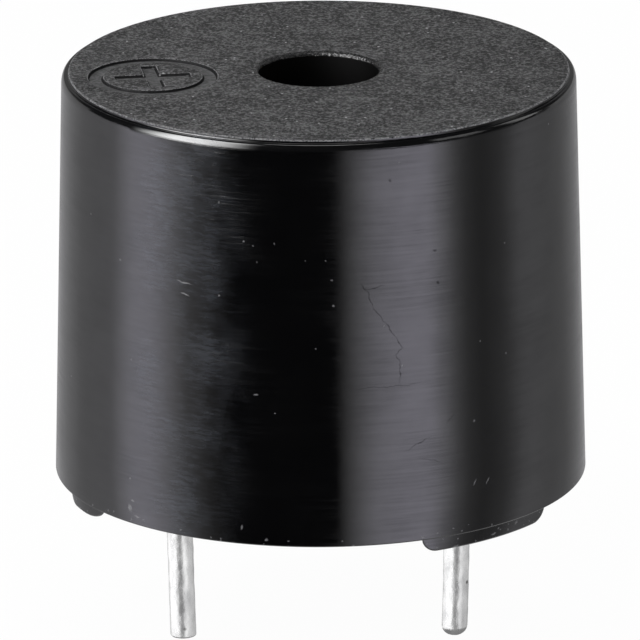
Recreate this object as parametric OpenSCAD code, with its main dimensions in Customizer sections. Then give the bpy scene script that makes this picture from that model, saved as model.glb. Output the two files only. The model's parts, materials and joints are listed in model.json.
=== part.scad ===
// Self-drive piezo buzzer with two pins, for a printed circuit board.
// A drafted cup with a sound hole stands on four low feet. A brass plate with a ceramic disc is
// glued against a ledge under the top, and the driving circuit sits on a round board below it.
// The board is soldered to the pins and sealed with a layer of resin.
// Millimetres. The origin lies midway between the pins on the plane of the feet, Z is up through
// the sound hole, and X runs along the pins with the positive pin on its negative side.

/* [Casing] */
// Diameter of the casing at its lower edge
casing_d = 12; // [11.6:0.1:13.5]
// Height of the casing from its lower edge to its top face
casing_h = 9.3; // [8.8:0.1:12]
// Draft of the outer wall in degrees
wall_draft = 1.4; // [0.4:0.1:2]
// Thickness of the wall at the lower edge
side_wall = 0.65; // [0.5:0.05:0.8]
// Thickness of the top
top_wall = 0.8; // [0.6:0.1:1.2]
// Diameter of the sound hole
sound_hole_d = 2.7; // [1.5:0.1:3.2]
// Height of the resonance chamber under the top
chamber_h = 1.6; // [1:0.1:2.2]
// Radius of the rounded upper edge
edge_r = 0.16; // [0.08:0.02:0.2]
// Height that the grained top face stands above the rounded edge
face_step = 0.08; // [0.03:0.01:0.12]
// Width of the shelf that the board is pushed against
shelf_w = 0.25; // [0.2:0.05:0.4]
// Width of the ledge that carries the brass plate
ledge_w = 0.5; // [0.4:0.05:0.7]

/* [Feet] */
// Height of the feet below the lower edge
foot_h = 0.35; // [0.2:0.05:0.6]
// Distance of the feet's outer face inside the wall
foot_inset = 0.15; // [0.1:0.05:0.25]
// Distance of the two large feet from the centre, towards the negative pin
large_foot_from = 1.46; // [1:0.02:2]
// Gap between the two large feet
large_foot_gap = 7.38; // [6.4:0.02:8.2]
// Depth of the two small feet beside the positive pin, inwards from their outer face
small_foot_depth = 0.56; // [0.4:0.02:0.6]
// Gap between the two small feet
small_foot_gap = 1.62; // [1.6:0.02:2.4]

/* [Polarity mark] */
// Distance of the polarity mark from the centre
mark_offset = 3.75; // [3.5:0.05:3.8]
// Outer diameter of the ring of the mark
mark_d = 2.9; // [2.4:0.1:3]
// Width of the lines of the mark
mark_line = 0.33; // [0.2:0.01:0.4]
// Length of the bars of the plus sign
mark_bar = 1.7; // [1.2:0.05:1.7]
// Depth of the mark
mark_depth = 0.06; // [0.03:0.01:0.1]

/* [Pins] */
// Distance between the pins
pin_pitch = 6.5; // [5:0.1:7]
// Diameter of a pin
pin_d = 0.6; // [0.5:0.05:0.7]
// Length of the positive pin below the feet
positive_length = 3.6; // [2.5:0.1:8]
// Length of the negative pin below the feet
negative_length = 3.9; // [2.5:0.1:8]
// Rounding of the cut end of the positive pin
cut_round = 0.06; // [0.03:0.01:0.2]
// Rounding of the dipped end of the negative pin
dip_round = 0.22; // [0.1:0.01:0.24]
// Diameter of the collar that anchors a pin in the resin
collar_d = 1; // [0.9:0.05:1.2]
// Height of that collar
collar_h = 0.4; // [0.3:0.05:0.6]
// Depth of the resin below that collar
collar_cover = 0.1; // [0.05:0.01:0.1]
// Height of a pin above the board
pin_tail = 0.55; // [0.4:0.05:0.9]

/* [Board and resin] */
// Distance of the resin above the casing's lower edge
resin_recess = 0.4; // [0.3:0.05:0.6]
// Thickness of the resin
resin_t = 0.8; // [0.7:0.05:1.2]
// Thickness of the circuit board
board_t = 0.8; // [0.6:0.1:1.2]
// Thickness of the copper tracks
copper_t = 0.04; // [0.03:0.01:0.07]
// Width of a copper track
track_w = 0.3; // [0.2:0.05:0.4]
// Diameter of the copper ring round a pin
pin_pad_d = 1.5; // [1.4:0.05:1.7]
// Diameter of the copper pad under a lead
lead_pad_d = 0.9; // [0.8:0.05:1]
// Height of the solder round a pin
pin_solder_h = 0.4; // [0.2:0.05:0.4]

/* [Sounder disc] */
// Thickness of the brass plate
plate_t = 0.1; // [0.08:0.01:0.2]
// Width of the bare brass round the ceramic disc
brass_rim = 1.45; // [1.3:0.05:1.6]
// Thickness of the ceramic disc
ceramic_t = 0.12; // [0.08:0.01:0.2]
// Thickness of the silver electrodes
silver_t = 0.04; // [0.03:0.01:0.06]
// Bare rim of ceramic round the silver
silver_margin = 0.2; // [0.1:0.05:0.4]
// Width of the feedback electrode
feedback_w = 1.8; // [1.4:0.1:2]
// Length of the feedback electrode from the rim of the silver inwards
feedback_l = 2.3; // [1.8:0.1:2.6]
// Gap between the two electrodes
silver_gap = 0.2; // [0.15:0.05:0.4]
// Thickness of the glue between the ledge and the plate
glue_t = 0.05; // [0.03:0.01:0.1]
// Height of the bead of glue below the plate
bead_h = 0.35; // [0.2:0.05:0.5]
// Width of that bead on the plate
bead_w = 0.35; // [0.2:0.05:0.45]

/* [Circuit] */
// Length of a chip resistor
chip_l = 1.6; // [1.4:0.1:2]
// Width of a chip resistor
chip_w = 0.8; // [0.7:0.05:1]
// Height of a chip resistor
chip_h = 0.45; // [0.35:0.05:0.6]
// Length of its metal end caps
cap_l = 0.3; // [0.2:0.05:0.4]
// Thickness of the metal of the end caps
cap_t = 0.04; // [0.03:0.01:0.06]
// Length of the transistor's body
transistor_l = 2.9; // [2.6:0.1:3]
// Width of the transistor's body
transistor_w = 1.3; // [1.1:0.1:1.5]
// Height of the transistor's body
transistor_h = 1; // [0.8:0.05:1.2]
// Distance between the two legs on one side of the transistor
leg_pitch = 1.9; // [1.7:0.1:2]
// Width of a leg
leg_w = 0.42; // [0.3:0.02:0.5]
// Thickness of a leg
leg_t = 0.12; // [0.08:0.01:0.15]
// Reach of a leg from the body
leg_reach = 0.55; // [0.45:0.05:0.6]
// Diameter of the enamelled lead wires
lead_d = 0.2; // [0.14:0.02:0.26]
// Diameter of the solder at the end of a lead
lead_solder_d = 0.8; // [0.7:0.05:0.9]
// Height of the solder at the end of a lead
lead_solder_h = 0.3; // [0.2:0.02:0.4]

/* [Hidden] */

round_fn = 128;
small_fn = 48;
wire_sides = 8;
wire_steps = 14;
lead_stiffness = 0.45;
fit_gap = 0.01;
board_gap = 0.05;
plate_gap = 0.15;
overlap = 0.1;

// Heights, from the feet's plane upwards
rim_z = foot_h;
top_z = rim_z + casing_h;
resin_z = rim_z + resin_recess;
board_z = resin_z + resin_t;
copper_z = board_z + board_t;
parts_z = copper_z + copper_t;
chamber_z = top_z - top_wall - chamber_h;
plate_z = chamber_z - glue_t - plate_t;
ceramic_z = plate_z - ceramic_t;
silver_z = ceramic_z - silver_t;

// Radii, from the wall inwards
casing_r = casing_d / 2;
corner_z = top_z - face_step;
corner_r = casing_r - (corner_z - rim_z) * tan(wall_draft);
face_r = corner_r - edge_r;
foot_r = casing_r - foot_inset;
bore_r = casing_r - side_wall;
shelf_r = bore_r - shelf_w;
chamber_r = shelf_r - ledge_w;
board_r = bore_r - board_gap;
plate_r = shelf_r - plate_gap;
ceramic_r = plate_r - brass_rim;
silver_r = ceramic_r - silver_margin;
pin_r = pin_d / 2;
pin_x = pin_pitch / 2;
collar_z = resin_z + collar_cover;

// Places on the board: positive side, base, collector and earth are wired as copper_tracks shows
transistor_place = [0.6, 1.6];
bias_place = [-1.6, -1.4];
load_place = [-1.9, 2.7];
feedback_place = [0.9, -2.9];
plate_lead_foot = [3.4, 2.2];
drive_lead_foot = [0.6, 4.1];
feedback_lead_foot = [3, -2.6];

// Small details of the components
transistor_lift = 0.1;
transistor_slope = 0.08;
leg_knee = 0.25;
pad_border = 0.1;
cone_waist = 0.12;
cone_tip = 0.04;
lead_r = lead_d / 2;

// Places on the disc: the bare brass rim, the silver and the feedback tongue
rim_joint_r = (ceramic_r + plate_r - bead_w) / 2;
rim_joint_angle = 30;
drive_joint_r = silver_r - silver_margin - lead_solder_d / 2;
drive_joint_angle = 73;
tongue_angle = -40;
tongue_joint_r = silver_r - feedback_l / 2;
plate_lead_head = rim_joint_r * [cos(rim_joint_angle), sin(rim_joint_angle)];
drive_lead_head = drive_joint_r * [cos(drive_joint_angle), sin(drive_joint_angle)];
feedback_lead_head = tongue_joint_r * [cos(tongue_angle), sin(tongue_angle)];

module at(point, z = 0) { translate([point[0], point[1], z]) children(); }

// ---------------------------------------------------------------- casing

// Half section of the cup without its feet
module casing_section() {
  difference() {
    union() {
      polygon([[0, rim_z], [casing_r, rim_z], [corner_r, corner_z - edge_r],
               [face_r, corner_z], [face_r, top_z], [0, top_z]]);
      translate([face_r, corner_z - edge_r]) circle(r = edge_r, $fn = small_fn);
    }
    translate([-overlap, rim_z - overlap])
      square([bore_r + overlap, copper_z - rim_z + overlap]);
    translate([-overlap, copper_z - overlap])
      square([shelf_r + overlap, chamber_z - copper_z + overlap]);
    translate([-overlap, chamber_z - overlap])
      square([chamber_r + overlap, chamber_h + overlap]);
  }
}

// Half section of the ring that the feet are cut from
module foot_section() {
  translate([bore_r, 0]) square([foot_r - bore_r, foot_h + overlap]);
}

// A foot's outline from the side, square at the rim with a rounded lower corner at its start
module foot_outline(start) {
  translate([start + foot_h, foot_h]) circle(r = foot_h, $fn = small_fn);
  translate([start + foot_h, 0]) square([casing_r - start - foot_h, foot_h + overlap]);
  translate([start, foot_h]) square([foot_h + overlap, overlap]);
}

// A foot, cut from the ring by two straight gaps: one crosses the pin line, one follows it
module foot(from_x, from_y) {
  intersection() {
    rotate_extrude($fn = round_fn) foot_section();
    translate([0, casing_r, 0]) rotate([90, 0, 0])
      linear_extrude(height = casing_r) foot_outline(from_x);
    rotate([90, 0, 90]) linear_extrude(height = casing_r) foot_outline(from_y);
  }
}

// Both large feet beside the negative pin and both small ones beside the positive pin
module feet() {
  small_from = foot_r - small_foot_depth;
  foot(large_foot_from, large_foot_gap / 2);
  mirror([0, 1, 0]) foot(large_foot_from, large_foot_gap / 2);
  mirror([1, 0, 0]) foot(small_from, small_foot_gap / 2);
  rotate([0, 0, 180]) foot(small_from, small_foot_gap / 2);
}

// A ring with a plus sign in it, which marks the side of the positive pin
module polarity_mark() {
  translate([-mark_offset, 0, top_z - mark_depth]) {
    difference() {
      cylinder(d = mark_d, h = mark_depth + overlap, $fn = round_fn);
      translate([0, 0, -overlap])
        cylinder(d = mark_d - 2 * mark_line, h = mark_depth + 3 * overlap, $fn = round_fn);
    }
    for (turn = [0, 90]) rotate([0, 0, turn])
      translate([-mark_bar / 2, -mark_line / 2, 0])
        cube([mark_bar, mark_line, mark_depth + overlap]);
  }
}

module casing() {
  color([0.09, 0.09, 0.1]) {
    difference() {
      union() {
        rotate_extrude($fn = round_fn) casing_section();
        feet();
      }
      translate([0, 0, top_z - top_wall - overlap])
        cylinder(d = sound_hole_d, h = top_wall + 2 * overlap, $fn = round_fn);
      polarity_mark();
    }
  }
}

// ---------------------------------------------------------------- pins and resin

// A round pin with a collar inside the resin, its lower end rounded
module pin(length, end_round) {
  rotate_extrude($fn = small_fn) {
    translate([0, -length + end_round]) square([pin_r, collar_z + length - end_round]);
    translate([0, -length]) square([pin_r - end_round, end_round]);
    intersection() {
      translate([pin_r - end_round, -length + end_round])
        circle(r = end_round, $fn = small_fn);
      translate([pin_r - end_round, -length]) square(end_round);
    }
    translate([0, collar_z]) square([collar_d / 2, collar_h]);
    translate([0, collar_z + collar_h - overlap])
      square([pin_r, parts_z + pin_tail - collar_z - collar_h + overlap]);
  }
}

module pin_positive() {
  color([0.8, 0.8, 0.78]) translate([-pin_x, 0, 0]) pin(positive_length, cut_round);
}

module pin_negative() {
  color([0.8, 0.8, 0.78]) translate([pin_x, 0, 0]) pin(negative_length, dip_round);
}

module resin_seal() {
  color([0.05, 0.05, 0.055]) difference() {
    translate([0, 0, resin_z])
      cylinder(r = bore_r - fit_gap, h = resin_t, $fn = round_fn);
    for (side = [-1, 1]) translate([side * pin_x, 0, 0]) {
      translate([0, 0, resin_z - overlap])
        cylinder(r = pin_r + fit_gap, h = resin_t + 2 * overlap, $fn = small_fn);
      translate([0, 0, collar_z - fit_gap])
        cylinder(r = collar_d / 2 + fit_gap, h = collar_h + 2 * fit_gap, $fn = small_fn);
    }
  }
}

// ---------------------------------------------------------------- board

module circuit_board() {
  color([0.16, 0.36, 0.2]) difference() {
    translate([0, 0, board_z]) cylinder(r = board_r, h = board_t, $fn = round_fn);
    for (side = [-1, 1]) translate([side * pin_x, 0, board_z - overlap])
      cylinder(r = pin_r + board_gap, h = board_t + 2 * overlap, $fn = small_fn);
  }
}

// A straight copper track between two points
module track(from, to) {
  run = to - from;
  translate(from) rotate([0, 0, atan2(run[1], run[0])])
    translate([0, -track_w / 2]) square([norm(run), track_w]);
  translate(to) circle(d = track_w, $fn = small_fn);
  translate(from) circle(d = track_w, $fn = small_fn);
}

// Middle of the pad under a leg: the base and emitter lie on row -1, the collector on row 1
function leg_pad(side, row) = transistor_place
  + [side * leg_pitch / 2, row * (transistor_w / 2 + leg_reach - leg_w / 2)];

// Middle of the pad under one end of a chip resistor
function chip_pad(place, side) = place + [side * (chip_l - cap_l) / 2, 0];

module rectangle_pad(place, size) { translate(place) square(size, center = true); }

module copper_tracks() {
  pad_size = [cap_l + 2 * pad_border, chip_w + pad_border];
  leg_pad_size = [leg_w + pad_border, leg_w + 2 * pad_border];
  positive = [-pin_x, 0];
  negative = [pin_x, 0];
  color([0.75, 0.45, 0.25]) translate([0, 0, copper_z]) linear_extrude(height = copper_t)
    difference() {
      union() {
        for (pin = [positive, negative]) translate(pin) circle(d = pin_pad_d, $fn = small_fn);
        for (foot = [plate_lead_foot, drive_lead_foot, feedback_lead_foot])
          translate(foot) circle(d = lead_pad_d, $fn = small_fn);
        for (place = [bias_place, load_place, feedback_place], side = [-1, 1])
          rectangle_pad(chip_pad(place, side), pad_size);
        for (side = [-1, 1]) rectangle_pad(leg_pad(side, -1), leg_pad_size);
        rectangle_pad(leg_pad(0, 1), leg_pad_size);
        // Supply from the positive pin
        track(positive, chip_pad(bias_place, -1));
        track(positive, chip_pad(load_place, -1));
        // Base
        track(chip_pad(bias_place, 1), leg_pad(-1, -1));
        track(chip_pad(bias_place, 1), chip_pad(feedback_place, -1));
        track(chip_pad(feedback_place, 1), feedback_lead_foot);
        // Collector
        track(chip_pad(load_place, 1), leg_pad(0, 1));
        track(leg_pad(0, 1), drive_lead_foot);
        // Emitter and brass plate to the negative pin
        track(negative, leg_pad(1, -1));
        track(negative, plate_lead_foot);
      }
      for (pin = [positive, negative]) translate(pin)
        circle(r = pin_r + board_gap, $fn = small_fn);
    }
}

// Cone of solder round a pin's tail
module pin_solder() {
  color([0.72, 0.73, 0.74]) for (side = [-1, 1]) translate([side * pin_x, 0, parts_z])
    rotate_extrude($fn = small_fn)
      polygon([[pin_r + fit_gap, 0], [pin_pad_d / 2 - pad_border / 2, 0],
               [pin_r + cone_waist, pin_solder_h / 2], [pin_r + cone_tip, pin_solder_h],
               [pin_r + fit_gap, pin_solder_h]]);
}

// ---------------------------------------------------------------- components

// Moulded body whose long sides slope in above and below its parting line
module transistor_body() {
  half = transistor_w / 2;
  inner = half - transistor_slope;
  color([0.07, 0.07, 0.08]) at(transistor_place, parts_z + transistor_lift)
    translate([transistor_l / 2, 0, 0]) rotate([0, -90, 0])
      linear_extrude(height = transistor_l)
        polygon([[0, -inner], [transistor_h / 2, -half], [transistor_h, -inner],
                 [transistor_h, inner], [transistor_h / 2, half], [0, inner]]);
}

// One leg: out of the body at its parting line, down, and outwards along its pad
module leg(side, row) {
  rise = transistor_lift + transistor_h / 2;
  under = -transistor_slope * leg_t / (transistor_h / 2);
  at(transistor_place, parts_z) translate([side * leg_pitch / 2, row * transistor_w / 2, 0])
    rotate([0, 0, row > 0 ? 0 : 180]) translate([leg_w / 2, 0, 0]) rotate([0, -90, 0])
      linear_extrude(height = leg_w)
        polygon([[rise, 0], [rise, leg_knee], [leg_t, leg_knee], [leg_t, leg_reach],
                 [0, leg_reach], [0, leg_knee - leg_t], [rise - leg_t, leg_knee - leg_t],
                 [rise - leg_t, under]]);
}

module transistor_legs() {
  color([0.72, 0.73, 0.74]) {
    for (side = [-1, 1]) leg(side, -1);
    leg(0, 1);
  }
}

module chip_core(place) {
  at(place, parts_z) translate([-chip_l / 2 + cap_t, -chip_w / 2 + cap_t, cap_t])
    cube([chip_l - 2 * cap_t, chip_w - 2 * cap_t, chip_h - 2 * cap_t]);
}

module chip_caps(place) {
  difference() {
    for (side = [-1, 1]) at(place, parts_z)
      translate([side * (chip_l - cap_l) / 2 - cap_l / 2, -chip_w / 2, 0])
        cube([cap_l, chip_w, chip_h]);
    chip_core(place);
  }
}

module bias_resistor() { color([0.12, 0.12, 0.13]) chip_core(bias_place); }
module bias_resistor_caps() { color([0.72, 0.73, 0.74]) chip_caps(bias_place); }
module load_resistor() { color([0.12, 0.12, 0.13]) chip_core(load_place); }
module load_resistor_caps() { color([0.72, 0.73, 0.74]) chip_caps(load_place); }
module feedback_resistor() { color([0.12, 0.12, 0.13]) chip_core(feedback_place); }
module feedback_resistor_caps() { color([0.72, 0.73, 0.74]) chip_caps(feedback_place); }

// ---------------------------------------------------------------- sounder disc

module diaphragm_plate() {
  color([0.78, 0.62, 0.3]) translate([0, 0, plate_z])
    cylinder(r = plate_r, h = plate_t, $fn = round_fn);
}

module ceramic_disc() {
  color([0.85, 0.8, 0.68]) translate([0, 0, ceramic_z])
    cylinder(r = ceramic_r, h = ceramic_t, $fn = round_fn);
}

// Outline of a tongue that runs in from the rim of the silver, round at its inner end
module tongue(width, length) {
  inner_end = silver_r - length + width / 2;
  rotate([0, 0, tongue_angle]) {
    translate([inner_end, -width / 2]) square([silver_r + overlap - inner_end, width]);
    translate([inner_end, 0]) circle(d = width, $fn = small_fn);
  }
}

module drive_electrode() {
  color([0.82, 0.82, 0.8]) translate([0, 0, silver_z]) linear_extrude(height = silver_t)
    difference() {
      circle(r = silver_r, $fn = round_fn);
      tongue(feedback_w + 2 * silver_gap, feedback_l + silver_gap);
    }
}

module feedback_electrode() {
  color([0.82, 0.82, 0.8]) translate([0, 0, silver_z]) linear_extrude(height = silver_t)
    intersection() {
      circle(r = silver_r, $fn = round_fn);
      tongue(feedback_w, feedback_l);
    }
}

// Bead that holds the plate's rim against the ledge and seals it to the wall
module glue_ring() {
  wall_r = shelf_r - fit_gap;
  color([0.75, 0.76, 0.75]) rotate_extrude($fn = round_fn) difference() {
    polygon([[chamber_r, plate_z + plate_t], [chamber_r, chamber_z], [wall_r, chamber_z],
             [wall_r, plate_z - bead_h], [plate_r - bead_w, plate_z],
             [plate_r - bead_w, plate_z + plate_t]]);
    translate([0, plate_z]) square([plate_r + fit_gap, plate_t]);
  }
}

// ---------------------------------------------------------------- leads

// A cubic curve through four points, and its direction
function curve(p, t) = p[0] * pow(1 - t, 3) + 3 * p[1] * t * pow(1 - t, 2)
  + 3 * p[2] * t * t * (1 - t) + p[3] * pow(t, 3);
function curve_dir(p, t) = (p[1] - p[0]) * pow(1 - t, 2) + 2 * (p[2] - p[1]) * t * (1 - t)
  + (p[3] - p[2]) * t * t;

// The route of a lead, which leaves its foot and meets its head straight up
function lead_route(foot, head, low, high) =
  let (reach = [0, 0, (high - low) * lead_stiffness],
       start = [foot[0], foot[1], low], end = [head[0], head[1], high])
    [start, start + reach, end - reach, end];

// A wire along that route: one ring of points for each step, capped at both ends
module lead(foot, head, low, high) {
  route = lead_route(foot, head, low, high);
  rings = [for (i = [0 : wire_steps])
    let (t = i / wire_steps, dir = curve_dir(route, t) / norm(curve_dir(route, t)),
         across = cross([0, 1, 0], dir) / norm(cross([0, 1, 0], dir)), other = cross(dir, across))
      for (k = [0 : wire_sides - 1])
        let (a = 360 * k / wire_sides)
          curve(route, t) + lead_r * (cos(a) * across + sin(a) * other)];
  first_cap = [for (k = [0 : wire_sides - 1]) k];
  last_cap = [for (k = [wire_sides - 1 : -1 : 0]) wire_steps * wire_sides + k];
  skin = [for (i = [0 : wire_steps - 1], k = [0 : wire_sides - 1])
    let (low_k = i * wire_sides + k, low_next = i * wire_sides + (k + 1) % wire_sides)
      [low_k, low_k + wire_sides, low_next + wire_sides, low_next]];
  polyhedron(points = rings, faces = concat([first_cap], [last_cap], skin));
}

module plate_lead() {
  color([0.15, 0.15, 0.16]) lead(plate_lead_foot, plate_lead_head, parts_z, plate_z);
}

module drive_lead() {
  color([0.6, 0.12, 0.1]) lead(drive_lead_foot, drive_lead_head, parts_z, silver_z);
}

module feedback_lead() {
  color([0.2, 0.3, 0.6]) lead(feedback_lead_foot, feedback_lead_head, parts_z, silver_z);
}

// A low dome of solder with the wire through its middle
module solder_dome(turned) {
  mirror([0, 0, turned ? 1 : 0]) rotate_extrude($fn = small_fn)
    polygon([[lead_r + 2 * fit_gap, 0], [lead_solder_d / 2, 0],
             [lead_solder_d / 2 - cone_tip, lead_solder_h / 2],
             [lead_r + cone_waist, lead_solder_h], [lead_r + 2 * fit_gap, lead_solder_h]]);
}

module board_lead_solder() {
  color([0.72, 0.73, 0.74]) for (foot = [plate_lead_foot, drive_lead_foot, feedback_lead_foot])
    at(foot, parts_z) solder_dome(false);
}

module disc_lead_solder() {
  color([0.72, 0.73, 0.74]) {
    at(plate_lead_head, plate_z) solder_dome(true);
    at(drive_lead_head, silver_z) solder_dome(true);
    at(feedback_lead_head, silver_z) solder_dome(true);
  }
}

casing();
resin_seal();
pin_positive();
pin_negative();
circuit_board();
copper_tracks();
pin_solder();
transistor_body();
transistor_legs();
bias_resistor();
bias_resistor_caps();
load_resistor();
load_resistor_caps();
feedback_resistor();
feedback_resistor_caps();
plate_lead();
drive_lead();
feedback_lead();
board_lead_solder();
disc_lead_solder();
diaphragm_plate();
ceramic_disc();
drive_electrode();
feedback_electrode();
glue_ring();
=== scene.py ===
import json
import math

import bmesh
import bpy
from mathutils import Matrix, Vector, noise
from mathutils.geometry import delaunay_2d_cdt


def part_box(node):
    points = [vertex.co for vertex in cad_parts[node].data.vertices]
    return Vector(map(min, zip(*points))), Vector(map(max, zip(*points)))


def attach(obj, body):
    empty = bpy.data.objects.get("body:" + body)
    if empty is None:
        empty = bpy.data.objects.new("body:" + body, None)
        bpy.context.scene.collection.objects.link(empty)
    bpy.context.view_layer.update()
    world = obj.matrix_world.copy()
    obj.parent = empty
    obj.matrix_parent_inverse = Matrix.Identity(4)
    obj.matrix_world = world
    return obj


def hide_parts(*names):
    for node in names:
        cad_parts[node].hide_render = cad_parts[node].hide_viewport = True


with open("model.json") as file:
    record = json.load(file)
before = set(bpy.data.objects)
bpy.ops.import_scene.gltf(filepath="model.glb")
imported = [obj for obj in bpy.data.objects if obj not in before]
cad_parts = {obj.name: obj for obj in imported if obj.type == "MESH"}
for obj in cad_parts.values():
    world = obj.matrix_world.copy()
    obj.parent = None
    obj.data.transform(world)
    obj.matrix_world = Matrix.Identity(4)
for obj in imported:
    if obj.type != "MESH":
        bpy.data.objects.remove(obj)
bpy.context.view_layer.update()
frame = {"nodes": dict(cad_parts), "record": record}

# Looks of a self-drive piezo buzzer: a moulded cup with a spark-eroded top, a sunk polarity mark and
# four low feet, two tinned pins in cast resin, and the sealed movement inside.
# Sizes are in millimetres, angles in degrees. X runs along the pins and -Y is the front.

# ---------------------------------------------------------------- sizes from the frame

MM = 0.001


def box_mm(node):
    """Lowest and highest corner of a CAD node in millimetres."""
    low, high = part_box(node)
    return low / MM, high / MM


mounts = {mount["name"]: mount["dims"] for mount in frame["record"]["mounts"]}
casing_low, casing_high = box_mm("casing")
resin_low, resin_high = box_mm("resin_seal")
glue_high = box_mm("glue_ring")[1]
board_low, board_high = box_mm("circuit_board")
tail_high = box_mm("pin_positive")[1].z
positive_end = box_mm("pin_positive")[0].z
negative_end = box_mm("pin_negative")[0].z

TOP_Z = casing_high.z
RIM_R = min(-casing_low.x, casing_high.x, -casing_low.y, casing_high.y)
HOLE_R = mounts["sound_port"]["r_mm"]
CEILING_Z = TOP_Z - mounts["sound_port"]["length_mm"]
LEDGE_Z = glue_high.z
SHELF_Z = board_high.z
RESIN_Z = resin_low.z
FIT_GAP = 0.01
BORE_R = resin_high.x + FIT_GAP
SHELF_R = glue_high.x + FIT_GAP
PIN_X = mounts["pins"]["spacing_x_mm"] / 2
PIN_R = mounts["pins"]["stud_r_mm"]

# ---------------------------------------------------------------- sizes of the casing

RIM_Z = 0.35
WALL_DRAFT = 1.4
STEP_DEPTH = 0.08       # drop from the grained face to the smooth land round it
LAND_W = 0.085          # width of that land
EDGE_DROP = 0.205       # height of the rounded edge below the land
EDGE_W = 0.075          # width of the rounded edge
LIP_R = 0.03            # rounding of the grained face's edge
STEP_FILLET = 0.015
RIM_ROUND = 0.035
HOLE_ROUND = 0.09
LEDGE_W = 0.5

CORNER_Z = TOP_Z - STEP_DEPTH
WALL_TOP_Z = CORNER_Z - EDGE_DROP
CORNER_R = RIM_R - (WALL_TOP_Z - RIM_Z) * math.tan(math.radians(WALL_DRAFT))
LAND_R = CORNER_R - EDGE_W
FACE_R = LAND_R - LAND_W

COLUMNS = 288           # steps round the casing
WALL_ROWS = 8

FOOT_R = RIM_R - 0.15
LARGE_FOOT_FROM = 1.46  # where the large feet start in X
LARGE_FOOT_GAP = 7.38   # between the two large feet, in Y
SMALL_FOOT_DEPTH = 0.56
SMALL_FOOT_GAP = 1.62
# The feet as the gaps leave them: side of X they stand on, and where they start in X and Y
FEET = ((1, LARGE_FOOT_FROM, LARGE_FOOT_GAP / 2), (-1, FOOT_R - SMALL_FOOT_DEPTH, SMALL_FOOT_GAP / 2))
FOOT_EDGE = 0.045       # rounding of a foot's lower edges
TIP_STEPS = 10
SOLE_STEPS = 8

# Polarity mark: a ring with a plus sign, sunk into the face on the positive pin's side
MARK_X = -3.75
MARK_R = 1.45
MARK_LINE = 0.33
MARK_BAR = 1.7
MARK_DEPTH = 0.06
MARK_CORNER = 0.07
MARK_SIDES = 96
CORNER_STEPS = 4
# Groove section: distance outside its nominal outline, and share of its depth
MARK_SECTION = ((0.025, 0.0), (0.006, 0.12), (-0.012, 0.85), (-0.035, 1.0))

# ---------------------------------------------------------------- small tools

WELD_GAP = 0.0002       # points of a piece closer than this become one
SAME_POINT = 1e-7       # and so do points of a flat outline
TINY = 1e-6             # smallest share of a direction to divide by


def polar(radius, angle, height=0.0):
    """A point at this radius and height, the angle in radians from +X."""
    return Vector((radius * math.cos(angle), radius * math.sin(angle), height))


def arc(centre, radii, start, end, steps):
    """Points of an elliptical arc in a plane, its angles in degrees."""
    angles = [math.radians(start + (end - start) * i / steps) for i in range(steps + 1)]
    return [(centre[0] + radii[0] * math.cos(a), centre[1] + radii[1] * math.sin(a)) for a in angles]


def new_piece(name, points, faces, materials, finishes=None):
    """A mesh piece from points in millimetres, with closed seams and its faces outwards."""
    mesh = bpy.data.meshes.new(name)
    mesh.from_pydata([Vector(p) * MM for p in points], [], faces)
    for material in materials:
        mesh.materials.append(material)
    if finishes:
        mesh.polygons.foreach_set("material_index", finishes)
    work = bmesh.new()
    work.from_mesh(mesh)
    bmesh.ops.remove_doubles(work, verts=work.verts, dist=WELD_GAP * MM)
    bmesh.ops.recalc_face_normals(work, faces=work.faces)
    work.to_mesh(mesh)
    work.free()
    piece = bpy.data.objects.new(name, mesh)
    bpy.context.scene.collection.objects.link(piece)
    return piece


def shade(piece, crease):
    """Smooth shading with sharp edges above the crease angle."""
    mesh = piece.data
    mesh.polygons.foreach_set("use_smooth", [True] * len(mesh.polygons))
    mesh.set_sharp_from_angle(angle=math.radians(crease))


def finished(piece, slot, *nodes):
    """The piece stands for these CAD nodes, which it hides, and moves with the part; slot is not used."""
    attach(piece, "root")
    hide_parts(*nodes)


# ---------------------------------------------------------------- materials


def linear(hex_colour):
    """Linear RGBA of an sRGB hex colour."""
    channels = [int(hex_colour[i:i + 2], 16) / 255 for i in (1, 3, 5)]
    return [c / 12.92 if c <= 0.04045 else ((c + 0.055) / 1.055) ** 2.4 for c in channels] + [1.0]


def add(tree, kind, inputs=None, **settings):
    """Adds a node, sets its properties and its inputs' values, and links inputs given as nodes."""
    made = tree.nodes.new(kind)
    for name, value in settings.items():
        setattr(made, name, value)
    for socket, value in (inputs or {}).items():
        if isinstance(value, bpy.types.Node):
            value = value.outputs[0]
        if isinstance(value, bpy.types.NodeSocket):
            tree.links.new(value, made.inputs[socket])
        else:
            made.inputs[socket].default_value = value
    return made


FACTOR, COLOUR_A, COLOUR_B, COLOUR_OUT = 0, 6, 7, 2     # sockets of a Mix node set to colours
FROM_LOW, FROM_HIGH, TO_LOW, TO_HIGH = 1, 2, 3, 4       # sockets of a Map Range node


def new_material(name, **sockets):
    """A material whose shader has these fixed values: its tree, its shader and the place in mm."""
    material = bpy.data.materials.new(name)
    material.use_nodes = True
    tree = material.node_tree
    shader = tree.nodes["Principled BSDF"]
    for socket, value in sockets.items():
        shader.inputs[socket.replace("_", " ")].default_value = value
    objects = add(tree, "ShaderNodeTexCoord").outputs["Object"]
    place = add(tree, "ShaderNodeVectorMath", {0: objects, "Scale": 1 / MM}, operation="SCALE")
    return material, tree, shader, place


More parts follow.
